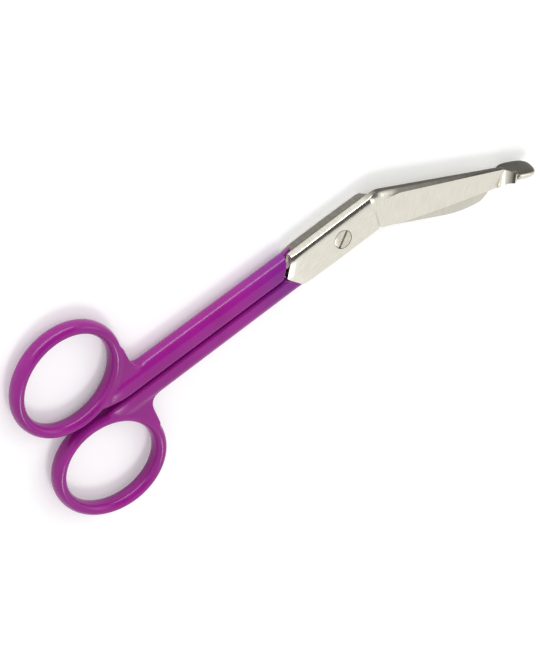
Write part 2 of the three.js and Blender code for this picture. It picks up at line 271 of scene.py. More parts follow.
def shank(inset, rear_x, back, low, high, cuff=0.0, stations=70):
    """A rounded box section carried forward from the ring. Its width grows from the tail to the
    rear of the shank and then stays nearly even, and its last few millimetres lean over, so that
    the end is parallel to the joint's shoulder at the distance back. A cuff lengthens it along the
    outer wall. Where low or high cuts the section, that corner is nearly square."""
    along = np.linspace(0, 1, stations)[:, None]
    front_x = shoulder_x(2.5, back)
    x = rear_x + (front_x - rear_x) * along
    swell = np.clip((x - SHANK_TAIL_X) / (SHANK_REAR_X - SHANK_TAIL_X), 0, 1)
    swell = swell * swell * (3 - 2 * swell)
    forward = np.clip((x - SHANK_REAR_X) / (SHOULDER_TIP_X - SHANK_REAR_X), 0, 1)
    near = PARTING + inset + SHANK_TAIL_RISE * (1 - swell)
    far = 2.9 + (SHANK_REAR_WIDTH - 2.9) * swell + (SHANK_FRONT_WIDTH - SHANK_REAR_WIDTH) * forward
    height = 1.5 + (SHANK_HALF_HEIGHT - 1.5) * swell
    outer = (SHANK_OUTER_ROUND - inset) * swell.clip(0.25)
    inner = (SHANK_INNER_ROUND - 0.5 * inset) * swell.clip(0.4)
    square = np.full_like(x, 0.12)
    top_cut, bottom_cut = high < height - inset, low > inset - height
    radii = (np.where(top_cut, square, outer), np.where(top_cut, square, inner),
             np.where(bottom_cut, square, inner), np.where(bottom_cut, square, outer))
    top = np.minimum(height - inset, high)
    bottom = np.maximum(inset - height, low)
    across, up = rounded_section(near, far - inset, bottom, top, radii)
    lean = np.clip((x - front_x + 8) / 8, 0, 1)
    reach = cuff * np.clip((across - 3.7) / 0.8, 0, 1) * np.clip(0.45 - 0.3 * up, 0, 1)
    slanted = x + lean * (shoulder_x(across, back) + reach - front_x)
    return stack(np.stack([slanted, across, up], axis=-1))


# %% the web in the crotch
WEB_HALF_HEIGHT = 2.0
WEB_FILLET = 2.7


def web():
    """A flat plate between the bow and the shank. Its outline follows the bow's middle line from
    the point nearest the other ring to the frontmost point, drops straight from the bow's front,
    turns a quarter circle into the shank's outer wall, and comes back inside the shank."""
    inner = ring_line(np.pi * np.linspace(1.45, 1.909, 40))
    front = inner[-1, 0] + BOW_HALF_WIDTH
    wall = SHANK_REAR_WIDTH - 0.6
    quarter = np.linspace(np.pi, 1.5 * np.pi, 16)
    centre = np.array([front + WEB_FILLET, wall + WEB_FILLET])
    fillet = centre + WEB_FILLET * np.stack([np.cos(quarter), np.sin(quarter)], axis=-1)
    inside = np.array([[front + WEB_FILLET, 2.5], [SHANK_REAR_X, PARTING + 0.4],
                       [inner[0, 0] + 9.0, PARTING + 0.15]])
    outline = np.concatenate([inner, [[front - 0.15, inner[-1, 1] - 2.2]], fillet, inside])
    level = np.ones((len(outline), 1))
    rings = np.stack([np.hstack([outline, -WEB_HALF_HEIGHT * level]),
                      np.hstack([outline, WEB_HALF_HEIGHT * level])])
    return stack(rings)


# %% the dipped handles
UPPER_END_BACK = 0.9
LOWER_END_BACK = 0.1
LOWER_CUFF = 2.4
LOWER_REAR_X = -30.0
MATING_HALF_GAP = 0.1
SKIN_VOXEL = 0.2
ROUNDING_STEPS = 16
EVENING_STEPS = 60


def evened(mesh):
    """Moves every point towards the mean of its neighbours. The first steps round the corners.
    In the later ones each step in is followed by a slightly longer step out, which irons out the
    small ripples of the remesh and keeps the thickness."""
    count = len(mesh.vertices)
    points = np.zeros(count * 3)
    mesh.vertices.foreach_get("co", points)
    points = points.reshape(-1, 3)
    edges = np.zeros(len(mesh.edges) * 2, dtype=np.int64)
    mesh.edges.foreach_get("vertices", edges)
    ends = np.concatenate([edges.reshape(-1, 2), edges.reshape(-1, 2)[:, ::-1]])
    neighbours = np.bincount(ends[:, 0], minlength=count)[:, None]
    for share in [0.5] * ROUNDING_STEPS + [0.5, -0.52] * EVENING_STEPS:
        sums = [np.bincount(ends[:, 0], weights=points[ends[:, 1], axis], minlength=count)
                for axis in range(3)]
        points = points + share * (np.stack(sums, axis=-1) / neighbours - points)
    mesh.vertices.foreach_set("co", points.ravel())
    mesh.update()


def dipped_handle(name, turned):
    """Bow, web and shank melted into one skin. Only the lower half of the shank reaches the steel
    of its own joint; the upper half stops short of the other half's joint."""
    upper = shank(0, SHANK_TAIL_X, UPPER_END_BACK, -9, 9)
    lower = shank(0, LOWER_REAR_X, LOWER_END_BACK, -9, -MATING_HALF_GAP, cuff=LOWER_CUFF)
    shell = gathered([bow(), web(), upper, lower])
    if turned:
        shell = half_turn(shell)
    piece = raw_object(name, shell)
    remesh = piece.modifiers.new("skin", "REMESH")
    remesh.mode = "VOXEL"
    remesh.voxel_size = SKIN_VOXEL
    graph = bpy.context.evaluated_depsgraph_get()
    skin = bpy.data.meshes.new_from_object(piece.evaluated_get(graph))
    piece.modifiers.clear()
    piece.data = skin
    evened(skin)
    return settled(piece, 180)


blunt_handle = dipped_handle("blunt_handle", turned=False)
probe_handle = dipped_handle("probe_handle", turned=True)

# %% [markdown]
# Each steel half is a flat joint plate that runs into a thin blade, bent down by 29 degrees. The
# plate's edges are rounded and polished, the blade's outer face is ground down in one slope from
# the spine to the cutting edge, and a step, the heel, shows where the grinding wheel stopped.
# Cutting this from a block with booleans would leave every edge dead sharp. Here it is a stack of
# sections instead, whose rows follow the pointed shoulder, the heel and the blade in turn, so each
# crisp edge is a row of the grid and each rounding is a quarter arc in the section.

# %% lines of the steel halves
BLADE_ANGLE = math.radians(29)
BLADE_SPINE = 10.05
PLATE_TOP = 2.8
HEEL_X = 9.7
HEEL_LEAN = math.tan(math.radians(6))
HEEL_RUN = 1.6
FACE_HEIGHT = 1.245
FACE_FALL = 0.0412
FACE_RISE = 0.197


def on_blade(along, across, bend):
    """A point in the blade's own axes, turned down (bend 1) or up (bend -1) into the plate's."""
    cosine = math.cos(BLADE_ANGLE)
    sine = bend * math.sin(BLADE_ANGLE)
    return np.stack([along * cosine + across * sine, across * cosine - along * sine], axis=-1)


def resampled(line, count_by_leg, keys):
    """Points along a polyline at even steps between key lengths, as many as each leg asks for."""
    step = np.linalg.norm(np.diff(line, axis=0), axis=1)
    length = np.concatenate([[0], np.cumsum(step)])
    marks = [length[k] for k in keys]
    wanted = [np.linspace(a, b, n, endpoint=False) for a, b, n in zip(marks, marks[1:], count_by_leg)]
    wanted = np.concatenate(wanted + [[marks[-1]]])
    return np.stack([np.interp(wanted, length, line[:, 0]), np.interp(wanted, length, line[:, 1])], axis=-1)


def corner_arc(before, corner, after, radius, steps=12):
    """A corner between two straight lines, rounded to a radius: a curve pulled to the corner."""
    to_before = (before - corner) / np.linalg.norm(before - corner)
    to_after = (after - corner) / np.linalg.norm(after - corner)
    half_angle = math.acos(np.clip(to_before @ to_after, -1, 1)) / 2
    reach = radius / math.tan(half_angle)
    share = np.linspace(0, 1, steps)[:, None]
    start = corner + reach * to_before
    end = corner + reach * to_after
    return (1 - share) ** 2 * start + 2 * share * (1 - share) * corner + share ** 2 * end


# %% a steel half as a stack of sections
LEGS = (10, 60, 10, 26, 150)
TOP_POINTS = 46
ROUND_POINTS = 10


def steel_half(cut_line, cut_keys, spine_line, spine_keys, face, bend, steel):
    """Rows run from the shoulder to the blade's end, each from the cutting side to the spine side.
    A row is bent to the pointed shoulder first, and straight from the heel on. Its section goes up
    the cutting side, over a rounded or beveled edge, across the top, over the spine's edge and
    down; the underside is flat. face gives the ground face's height in the blade's axes."""
    left = resampled(cut_line, LEGS, cut_keys)
    right = resampled(spine_line, LEGS, spine_keys)
    rows = len(left)
    marks = np.cumsum((0,) + LEGS)
    share = np.interp(np.arange(rows), marks, np.arange(len(marks)))
    width = np.linalg.norm(right - left, axis=1)[:, None]
    direction = ((right - left) / width)[:, None, :]

    # the edges' widths and drops, from the shoulder (0) over the heel (2) and the bend (4) to the end (5)
    cut_wide = np.interp(share, (0, 1, 2, 2.6, 3, 5), (0.8, 0.8, 0.9, 0.5, 0.32, 0.25))[:, None]
    cut_drop = np.interp(share, (0, 1, 2, 3, 5), (0.8, 0.8, 0.8, 0.35, 0.2))[:, None]
    spine_wide = np.interp(share, (0, 1, 1.6, 2, 3, 4, 5), steel["spine_wide"])[:, None]
    spine_drop = np.interp(share, (0, 1, 1.6, 2, 3, 4, 5), steel["spine_drop"])[:, None]
    flat_edge = np.interp(share, (0, 2, 3, 4, 5), (0, 0, 0.35, 1, 1))[:, None]

    # places across a row: cutting edge's rounding, top, spine edge's rounding
    quarter = np.linspace(0, 1, ROUND_POINTS)[None, :]
    bow_in = 1 - np.cos(quarter * np.pi / 2)
    bow_up = np.sin(quarter * np.pi / 2)
    line_in = quarter
    over_left = cut_wide * (bow_in * (1 - flat_edge) + line_in * flat_edge)
    over_right = width - spine_wide * (bow_in * (1 - flat_edge) + line_in * flat_edge)
    between = np.linspace(0, 1, TOP_POINTS)[None, 1:-1]
    over_top = cut_wide + (width - cut_wide - spine_wide) * between

    # the shoulder: rows bend back to the middle of the plate
    point_back = np.interp(share, (0, 1, 1.5), (1, 0.75, 0))[:, None]

    def placed(over):
        """The flat place of points at a distance over from the cutting side of each row."""
        flat = left[:, None, :] + direction * over[:, :, None]
        middle = 1 - np.sqrt((2 * over / width - 1) ** 2 + 0.004)
        flat[:, :, 0] -= (SHOULDER_SIDE_X - SHOULDER_TIP_X) * point_back * np.clip(middle, -0.1, 1)
        return flat

    def top_height(flat):
        """The plate's top, then the hollow slope of the heel, then the ground face."""
        x, y = flat[:, :, 0], flat[:, :, 1]
        cosine, sine = math.cos(BLADE_ANGLE), bend * math.sin(BLADE_ANGLE)
        ground = face(x * cosine - y * sine, x * sine + y * cosine)
        run = HEEL_RUN * (1 + 5.0 * np.clip(y / 3.5, 0, 1) ** 2)
        past_heel = np.clip((x - HEEL_X - bend * y * HEEL_LEAN) / run, 0, 1)
        return PLATE_TOP + (np.minimum(ground, PLATE_TOP) - PLATE_TOP) * (1 - (1 - past_heel) ** 1.7)

    end_round = np.interp(share, (0, 0.25, 0.5, 0.75, 1), (0.45, 0.15, 0.05, 0.01, 0))[:, None]
    places = [placed(over) for over in (over_left, over_top, over_right)]
    heights = [top_height(place) - end_round for place in places]
    sloped = [bow_up * (1 - flat_edge) + line_in * flat_edge]
    left_top = heights[0][:, -1:]
    right_top = heights[2][:, -1:]
    heights[0] = left_top - np.minimum(cut_drop, left_top - MATING_HALF_GAP - 0.03) * (1 - sloped[0])
    heights[2] = right_top - np.minimum(spine_drop, right_top - MATING_HALF_GAP - 0.03) * (1 - sloped[0])

    # the flat underside, from the spine side back to the cutting side
    under = placed(width * np.linspace(1, 0, 16)[None, :])
    under_height = np.full(under.shape[:2], MATING_HALF_GAP)
    flat = np.concatenate([places[0], places[1], places[2][:, ::-1], under], axis=1)
    height = np.concatenate([heights[0], heights[1], heights[2][:, ::-1], under_height], axis=1)
    return stack(np.concatenate([flat, height[:, :, None]], axis=-1))


# %% the upper half, with the long probe blade
def probe_cutting_edge():
    """From the plate's corner down to the blade's base line, then a curve that rises slowly towards
    the tip: a power of the distance from the heel."""
    along = np.linspace(12.5, 48.2, 60)
    share = (along - 12.5) / (48.2 - 12.5)
    across = np.minimum(5.3 * share ** 1.55, 5.0)
    plate = np.array([[SHOULDER_SIDE_X, -4.35], [-8.0, -4.4], [0.0, -4.47],
                      [9.24, -4.4], [9.7, -4.42], [10.75, -5.8]])
    return np.concatenate([plate, on_blade(along, across, 1)])


def probe_spine():
    """Straight along the plate, a soft corner of radius 5, then straight down the blade."""
    start = np.array([0.0, 4.47])
    corner = np.array([12.79, 4.4])
    end = on_blade(np.array([48.2]), np.array([BLADE_SPINE]), 1)[0]
    turn = corner_arc(start, corner, end, 5.0)
    plate = np.array([[SHOULDER_SIDE_X, 4.35], [-8.0, 4.4], [0.0, 4.47], [10.16, 4.42]])
    back = on_blade(np.array([15.0, 45.6, 46.6, 48.2]), np.array([0, 0, -0.25, -1.1]) + BLADE_SPINE, 1)
    return np.concatenate([plate, turn, back]), len(plate) + 2, len(plate) + len(turn)


def probe_face(along, across):
    """The ground face is a plane that falls towards the tip and rises towards the spine."""
    return FACE_HEIGHT - FACE_FALL * along + FACE_RISE * across


cut_line = probe_cutting_edge()
spine_line, spine_foot, spine_fan = probe_spine()
probe_edges = {"spine_wide": (1.6, 1.8, 2.4, 3.0, 2.6, 0.85, 0.2),
               "spine_drop": (0.9, 1.0, 1.1, 1.2, 1.0, 0.8, 0.3)}
probe_blade = steel_half(cut_line, (0, 1, 3, 5, 9, len(cut_line) - 1),
                         spine_line, (0, 1, 3, spine_foot, spine_fan, len(spine_line) - 1),
                         probe_face, 1, probe_edges)
print("probe blade", len(probe_blade[0]), "points")

# %% [markdown]
# The blunt half is the same kind of forging, turned over: its flat side faces the other half. So it
# is drawn upside down with the same function, and half a turn about X brings it back.

# %% the lower half, with the short blunt blade, drawn turned over
def blunt_cutting_edge():
    """The blunt half is drawn upside down, so its blade bends up: the plate's corner, a short
    shoulder, then the hidden cutting edge, which closes slowly on the spine."""
    plate = np.array([[SHOULDER_SIDE_X, -4.35], [-8.0, -4.4], [0.0, -4.47],
                      [9.2, -4.4], [10.9, -3.7], [13.9, -2.5]])
    edge = on_blade(np.array([15.0, 43.6]), np.array([-9.2, -6.0]), -1)
    return np.concatenate([plate, edge])


def blunt_spine():
    """Straight along the plate, then the blade's back, straight at first. From 30 mm on it falls
    away with a power of the distance, and it ends in a slanted, rounded tip."""
    along = np.linspace(31.0, 41.0, 14)
    across = 0.15 - 1.9 * ((along - 30.0) / 11.0) ** 2.2
    tip = on_blade(np.array([42.0, 43.0, 43.45, 43.6]), np.array([-2.6, -3.8, -4.5, -5.4]), -1)
    plate = np.array([[SHOULDER_SIDE_X, 4.35], [-8.0, 4.4], [0.0, 4.47], [7.0, 4.42]])
    back = on_blade(np.array([10.3, 12.2, 14.0]), np.array([0.15, 0.15, 0.15]), -1)
    return np.concatenate([plate, back, on_blade(along, across, -1), tip])


def blunt_face(along, across):
    """The same ground plane as the probe blade's, measured from its own cutting side."""
    return FACE_HEIGHT - FACE_FALL * along + FACE_RISE * (BLADE_SPINE + across)


blunt_cut = blunt_cutting_edge()
blunt_back = blunt_spine()
blunt_edges = {"spine_wide": (0.8, 0.8, 0.9, 1.0, 1.0, 0.8, 0.4),
               "spine_drop": (0.8, 0.8, 0.8, 0.8, 0.8, 0.7, 0.4)}
blunt_blade = half_turn(steel_half(blunt_cut, (0, 1, 3, 4, 6, len(blunt_cut) - 1),
                                   blunt_back, (0, 1, 3, 4, 6, len(blunt_back) - 1),
                                   blunt_face, -1, blunt_edges))
print("blunt blade", len(blunt_blade[0]), "points")

# %% [markdown]
# The probe blade ends in a flattened button that slides under a bandage without touching the skin.
# It stands across the blade like a small oval coin, and the end of the blade flares up and down to
# carry it. The button is a superellipse both in outline and in section, because it is fuller than
# an ellipse towards its rim. The flare is a stack of box sections that grow as a power of the
# distance, which gives the hollow ramp that a grinding wheel leaves.

# %% the button and its flare
PAD_CENTRE = np.array([50.2, 8.45, 0.25])
PAD_HALF_LENGTH = 5.1
PAD_HALF_WIDTH = 3.0
PAD_HALF_THICKNESS = 1.15
PAD_TILT = math.radians(15)


def rounded_power(value, power):
    """A cosine or sine raised to a power with its sign kept: the lower the power, the fuller."""
    return np.sign(value) * np.abs(value) ** power


def pad_button():
    """Rings round the button's thickness axis. Outline and section are superellipses, and the
    upper rear quarter is shorter, because the flare stands there."""
    turn = np.linspace(0, 2 * np.pi, 96, endpoint=False)[None, :]
    rise = np.linspace(-np.pi / 2 + 0.02, np.pi / 2 - 0.02, 48)[:, None]
    reach = rounded_power(np.cos(rise), 0.62)
    along = PAD_HALF_LENGTH * reach * rounded_power(np.cos(turn), 0.7)
    up = PAD_HALF_WIDTH * reach * rounded_power(np.sin(turn), 0.7)
    thick = PAD_HALF_THICKNESS * rounded_power(np.sin(rise), 0.9) * np.ones_like(turn)
    above_blade = np.clip(up / 1.4, 0, 1)
    along = np.where(along < 0, along * (1 - 0.6 * above_blade), along)
    across = thick * math.cos(PAD_TILT) - up * math.sin(PAD_TILT)
    height = thick * math.sin(PAD_TILT) + up * math.cos(PAD_TILT)
    return along + PAD_CENTRE[0], across + PAD_CENTRE[1], height + PAD_CENTRE[2]


def pad_flare():
    """Box sections from inside the blade to inside the button. Height grows as a power of the
    distance up to the button's rim, then falls with the button."""
    along = np.concatenate([np.linspace(45.2, 48.2, 26), np.linspace(48.25, 51.5, 14)])[:, None]
    grow = np.clip((along - 45.2) / 3.0, 0, 1) ** 2.6
    sink = np.clip((along - 48.2) / 3.3, 0, 1)
    near = 4.9 + 1.7 * np.clip((along - 45.2) / 3.0, 0, 1) + 1.3 * sink
    far = BLADE_SPINE - 0.15 - 0.95 * grow - 0.5 * sink
    high = 1.0 + 2.3 * grow - 1.5 * sink
    low = 0.15 - 2.6 * grow + 1.2 * sink
    across, height = rounded_section(near, far, low, high, (0.3 + 0 * along, 0.12 + 0 * along) * 2)
    return along * np.ones_like(across), across, height


def on_probe_blade(along, across, height):
    """A closed surface given in the blade's axes, turned into the plate's."""
    flat = on_blade(along, across, 1)
    return stack(np.concatenate([flat, height[:, :, None]], axis=-1))


button = on_probe_blade(*pad_button())
flare = on_probe_blade(*pad_flare())

# %% [markdown]
# Inside each dipped handle a plain steel bar carries the force from the ring to the joint. It
# doesn't show, but it is part of the forging, so each half keeps it.

# %% the bars in the handles
CORE_INSET = 0.75
CORE_REAR_X = -60.0
CORE_END_BACK = -2.0


def core_bar():
    """The shank's own shape, smaller by the plastic's thickness, on one side of the mating plane."""
    return shank(CORE_INSET, CORE_REAR_X, CORE_END_BACK, -9, -MATING_HALF_GAP)


# %% [markdown]
# The two halves turn on a countersunk screw with a plain slot. It is a turned shape, a profile
# carried round the axis, with the slot cut out. The same profile, a little larger, cuts its seat.

# %% screw
SCREW_HEAD_RADIUS = 2.25
SCREW_SHANK_RADIUS = 1.5
SCREW_SEAT_GAP = 0.1
SCREW_CONE_FOOT = 1.1
SCREW_RIM_FOOT = 1.9
SLOT_HALF_WIDTH = 0.3
SLOT_FLOOR = 2.0
SLOT_ANGLE = math.radians(40)


def turned(profile, sides=96):
    """Radius and height pairs carried round the joint's axis."""
    turn = np.linspace(0, 2 * np.pi, sides, endpoint=False)
    radius = profile[:, 0][:, None]
    x = radius * np.cos(turn)[None, :]
    y = radius * np.sin(turn)[None, :]
    z = profile[:, 1][:, None] * np.ones_like(x)
    return stack(np.stack([x, y, z], axis=-1))


def screw_profile(extra, overrun):
    """From the end of the shank up to the head: shank, cone, straight rim, rounded lip and top."""
    head = SCREW_HEAD_RADIUS + extra
    shaft = SCREW_SHANK_RADIUS + extra
    lip = 0.12 if overrun == 0 else 0.0
    top = PLATE_TOP + overrun
    return np.array([[0.01, -PLATE_TOP - overrun], [shaft - lip, -PLATE_TOP - overrun],
                     [shaft, lip - PLATE_TOP - overrun], [shaft, SCREW_CONE_FOOT - extra],
                     [head, SCREW_RIM_FOOT - extra], [head, top - lip], [head - 0.3 * lip, top - 0.3 * lip],
                     [head - lip, top], [0.5 * head, top + 0.02], [0.01, top + 0.03]])


screw_seat = raw_object("screw_seat", turned(screw_profile(SCREW_SEAT_GAP, 1.0)))
slot_section = np.array([[-SLOT_HALF_WIDTH, SLOT_FLOOR], [SLOT_HALF_WIDTH, SLOT_FLOOR],
                         [SLOT_HALF_WIDTH, 3.5], [-SLOT_HALF_WIDTH, 3.5]])
slot_along = np.array([-4.0, 4.0])[:, None, None] * np.ones((2, 4, 1))
slot_block = np.concatenate([slot_along, np.broadcast_to(slot_section, (2, 4, 2))], axis=-1)
turn_z = np.array([[math.cos(SLOT_ANGLE), math.sin(SLOT_ANGLE), 0],
                   [-math.sin(SLOT_ANGLE), math.cos(SLOT_ANGLE), 0], [0, 0, 1]])
slot_cutter = raw_object("slot_cutter", stack(slot_block @ turn_z))
screw = raw_object("screw", turned(screw_profile(0.0, 0.0)))
cut(screw, slot_cutter)
settled(screw, 30)

# %% the two steel halves, seated on the screw
def steel_piece(name, shells):
    """Joins the closed surfaces of one half and cuts the screw's seat through its plate."""
    piece = raw_object(name, gathered(shells))
    cut(piece, screw_seat)
    return settled(piece, 24)


probe_steel = steel_piece("probe_steel", [probe_blade, button, flare, half_turn(core_bar())])
blunt_steel = steel_piece("blunt_steel", [blunt_blade, core_bar()])
removed(screw_seat)
removed(slot_cutter)

# %% [markdown]
# Stage: a white table under the scissors and a plain white room. The lamps and the room together
# light a surface at about the level at which its colour is as written. A camera sees the room as
# plain white, and so does polished metal, except for one grey card that stands behind the camera:
# it gives the rounded edges of the steel the dark bands that make them read as metal.

# %% table, room and lamps
def flat_square(name, centre, across, up):
    """A flat four-sided card: its centre plus and minus two half sides."""
    centre, across, up = (np.array(v) for v in (centre, across, up))
    corners = np.array([centre - across - up, centre + across - up,
                        centre + across + up, centre - across + up])
    mesh = bpy.data.meshes.new(name)
    mesh.from_pydata(corners.tolist(), [], [(0, 1, 2, 3)])
    card = bpy.data.objects.new(name, mesh)
    bpy.context.scene.collection.objects.link(card)
    return card


def new_material(name):
    """An empty node material with its output and one Principled shader."""
    material = bpy.data.materials.new(name)
    material.use_nodes = True
    nodes = material.node_tree.nodes
    nodes.clear()
    output = nodes.new("ShaderNodeOutputMaterial")
    shader = nodes.new("ShaderNodeBsdfPrincipled")
    material.node_tree.links.new(shader.outputs["BSDF"], output.inputs["Surface"])
    return material, shader


def show(piece, material):
    """The piece wears this material alone."""
    piece.data.materials.clear()
    piece.data.materials.append(material)


def seen_directly(tree):
    """1 where a camera ray, a mirror ray or a glass ray arrives, 0 for the light that surfaces get."""
    path = tree.nodes.new("ShaderNodeLightPath")
    either = tree.nodes.new("ShaderNodeMath")
    either.operation = "MAXIMUM"
    tree.links.new(path.outputs["Is Camera Ray"], either.inputs[0])
    tree.links.new(path.outputs["Is Glossy Ray"], either.inputs[1])
    both = tree.nodes.new("ShaderNodeMath")
    both.operation = "MAXIMUM"
    tree.links.new(either.outputs[0], both.inputs[0])
    tree.links.new(path.outputs["Is Transmission Ray"], both.inputs[1])
    return both.outputs[0]


table = flat_square("table", (0, 0, -0.0002), (2.5, 0, 0), (0, 2.5, 0))
table_white, table_shader = new_material("table_white")
table_shader.inputs["Base Color"].default_value = (0.93, 0.93, 0.93, 1)
table_shader.inputs["Roughness"].default_value = 0.9
table_shader.inputs["Emission Color"].default_value = (1, 1, 1, 1)
table_tree = table_white.node_tree
table_glow = table_tree.nodes.new("ShaderNodeMath")
table_glow.operation = "MULTIPLY"
table_glow.inputs[1].default_value = 0.16
table_tree.links.new(seen_directly(table_tree), table_glow.inputs[0])
table_tree.links.new(table_glow.outputs[0], table_shader.inputs["Emission Strength"])
show(table, table_white)
table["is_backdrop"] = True

ROOM_LIGHT = 0.72
world = bpy.data.worlds.new("room")
bpy.context.scene.world = world
world.use_nodes = True
world_tree = world.node_tree
background = world_tree.nodes["Background"]
background.inputs["Color"].default_value = (1, 1, 1, 1)
room_level = world_tree.nodes.new("ShaderNodeMath")
room_level.operation = "MULTIPLY_ADD"
room_level.inputs[1].default_value = 1 - ROOM_LIGHT
room_level.inputs[2].default_value = ROOM_LIGHT
world_tree.links.new(seen_directly(world_tree), room_level.inputs[0])
world_tree.links.new(room_level.outputs[0], background.inputs["Strength"])


def soft_lamp(name, place, wide, high, watts):
    """A flat lamp that faces the middle of the scissors."""
    data = bpy.data.lights.new(name, "AREA")
    data.shape = "RECTANGLE"
    data.size = wide
    data.size_y = high
    data.energy = watts
    lamp = bpy.data.objects.new(name, data)
    bpy.context.scene.collection.objects.link(lamp)
    back = -np.array(place) / np.linalg.norm(place)
    side = np.cross((0, 0, 1), -back)
    side = side / np.linalg.norm(side)
    up = np.cross(-back, side)
    turn = Matrix((side.tolist(), up.tolist(), (-back).tolist())).transposed().to_4x4()
    lamp.matrix_world = Matrix.Translation(place) @ turn
    return lamp


soft_lamp("window_lamp", (-0.3, -0.55, 0.95), 0.3, 0.3, 2.7)
soft_lamp("fill_lamp", (0.9, 0.1, 0.75), 0.6, 0.6, 1.6)
soft_lamp("low_strip_lamp", (0.15, 0.95, 0.09), 1.3, 0.14, 5.5)

card = flat_square("grey_card", (0.2, 0.48, 0.66), (0.5, 0.0, 0.0), (0.0, -0.46, 0.38))
card_grey, card_shader = new_material("card_grey")
card_shader.inputs["Base Color"].default_value = (0.03, 0.03, 0.03, 1)
card_shader.inputs["Roughness"].default_value = 0.9
show(card, card_grey)
card.visible_camera = False
card.visible_diffuse = False
card.visible_shadow = False
card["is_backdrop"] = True
print("stage ready")

# %% [markdown]
# Finishes. Each one is an effect group that gives patterns, plus a Principled shader in the
# material itself. Patterns read Object coordinates, in metres, so they stay put when a piece moves.

# %% helpers for node trees
def new_group(name, inputs, outputs):
    """A shader node group with named sockets: inputs and outputs list (name, kind, default)."""
    group = bpy.data.node_groups.new(name, "ShaderNodeTree")
    for label, kind, default in inputs:
        socket = group.interface.new_socket(name=label, in_out="INPUT", socket_type=kind)
        if default is not None:
            socket.default_value = default
    for label, kind in outputs:
        group.interface.new_socket(name=label, in_out="OUTPUT", socket_type=kind)
    return group, group.nodes.new("NodeGroupInput"), group.nodes.new("NodeGroupOutput")


def place_group(tree, group, **values):
    """One use of a group in a material, with its own values."""
    node = tree.nodes.new("ShaderNodeGroup")
    node.node_tree = group
    for label, value in values.items():
        node.inputs[label.replace("_", " ")].default_value = value
    return node


def math_node(tree, operation, a, b=None, c=None):
    """A Math node whose inputs are sockets or plain numbers; gives its output."""
    node = tree.nodes.new("ShaderNodeMath")
    node.operation = operation
    for place, value in enumerate((a, b, c)):
        if value is None:
            continue
        if isinstance(value, (int, float)):
            node.inputs[place].default_value = value
        else:
            tree.links.new(value, node.inputs[place])
    return node.outputs[0]


def blend_colours(tree, share, first, second):
    """A colour between two colours; each may be a socket or three numbers."""
    node = tree.nodes.new("ShaderNodeMix")
    node.data_type = "RGBA"
    tree.links.new(share, node.inputs["Factor"])
    for label, value in (("A", first), ("B", second)):
        socket = [s for s in node.inputs if s.name == label and s.type == "RGBA"][0]
        if isinstance(value, tuple):
            socket.default_value = value + (1,)
        else:
            tree.links.new(value, socket)
    return [s for s in node.outputs if s.type == "RGBA"][0]


def ramp(tree, value, low, high):
    """0 at low and below, 1 at high and above, smooth between."""
    node = tree.nodes.new("ShaderNodeMapRange")
    node.interpolation_type = "SMOOTHSTEP"
    node.inputs["From Min"].default_value = low
    node.inputs["From Max"].default_value = high
    tree.links.new(value, node.inputs["Value"])
    return node.outputs["Result"]


def srgb(red, green, blue):
    """A colour as a painter reads it, 0 to 255, in the straight light values that shaders use."""
    value = np.array([red, green, blue]) / 255
    return tuple(np.where(value <= 0.04045, value / 12.92, ((value + 0.055) / 1.055) ** 2.4).tolist())

# %% [markdown]
# The handle coating is a soft plastic dip: strongly coloured, glossy, and never quite even. Its
# thickness wanders over centimetres, which shifts the colour a little, and its surface has the
# faint waviness of a liquid that set. Towards the steel the colour turns violet.

# %% the dip's pattern
dip_film, dip_in, dip_out = new_group(
    "dip_film",
    [("Vector", "NodeSocketVector", None), ("Thickness Scale", "NodeSocketFloat", 90.0),
     ("Wave Scale", "NodeSocketFloat", 160.0)],
    [("Thickness", "NodeSocketFloat"), ("Height", "NodeSocketFloat"), ("Rough", "NodeSocketFloat")])
thick_noise = dip_film.nodes.new("ShaderNodeTexNoise")
thick_noise.inputs["Detail"].default_value = 3.0
dip_film.links.new(dip_in.outputs["Vector"], thick_noise.inputs["Vector"])
dip_film.links.new(dip_in.outputs["Thickness Scale"], thick_noise.inputs["Scale"])
wave_noise = dip_film.nodes.new("ShaderNodeTexNoise")
wave_noise.inputs["Detail"].default_value = 2.0
dip_film.links.new(dip_in.outputs["Vector"], wave_noise.inputs["Vector"])
dip_film.links.new(dip_in.outputs["Wave Scale"], wave_noise.inputs["Scale"])
thickness = ramp(dip_film, thick_noise.outputs["Fac"], 0.3, 0.7)
dip_film.links.new(thickness, dip_out.inputs["Thickness"])
dip_film.links.new(wave_noise.outputs["Fac"], dip_out.inputs["Height"])
dip_rough = math_node(dip_film, "MULTIPLY_ADD", wave_noise.outputs["Fac"], 0.08, 0.18)
dip_film.links.new(dip_rough, dip_out.inputs["Rough"])

# %% coating material
coating, coating_shader = new_material("handle_coating_magenta")
tree = coating.node_tree
where = tree.nodes.new("ShaderNodeTexCoord").outputs["Object"]
film = place_group(tree, dip_film, Thickness_Scale=90.0, Wave_Scale=160.0)
tree.links.new(where, film.inputs["Vector"])
body_colour = blend_colours(tree, film.outputs["Thickness"], srgb(138, 14, 124), srgb(150, 20, 136))
parts = tree.nodes.new("ShaderNodeSeparateXYZ")
tree.links.new(where, parts.inputs[0])
# violet, up to 0.55 of it, rising from 32 mm to 14.5 mm behind the screw's axis
toward_joint = ramp(tree, parts.outputs["X"], -0.032, -0.0145)
violet_share = math_node(tree, "MULTIPLY", toward_joint, 0.55)
coating_colour = blend_colours(tree, violet_share, body_colour, srgb(112, 34, 132))
tree.links.new(coating_colour, coating_shader.inputs["Base Color"])
tree.links.new(film.outputs["Rough"], coating_shader.inputs["Roughness"])
coating_bump = tree.nodes.new("ShaderNodeBump")
coating_bump.inputs["Strength"].default_value = 0.12
coating_bump.inputs["Distance"].default_value = 0.00005
tree.links.new(film.outputs["Height"], coating_bump.inputs["Height"])
tree.links.new(coating_bump.outputs["Normal"], coating_shader.inputs["Normal"])
coating_shader.inputs["IOR"].default_value = 1.5
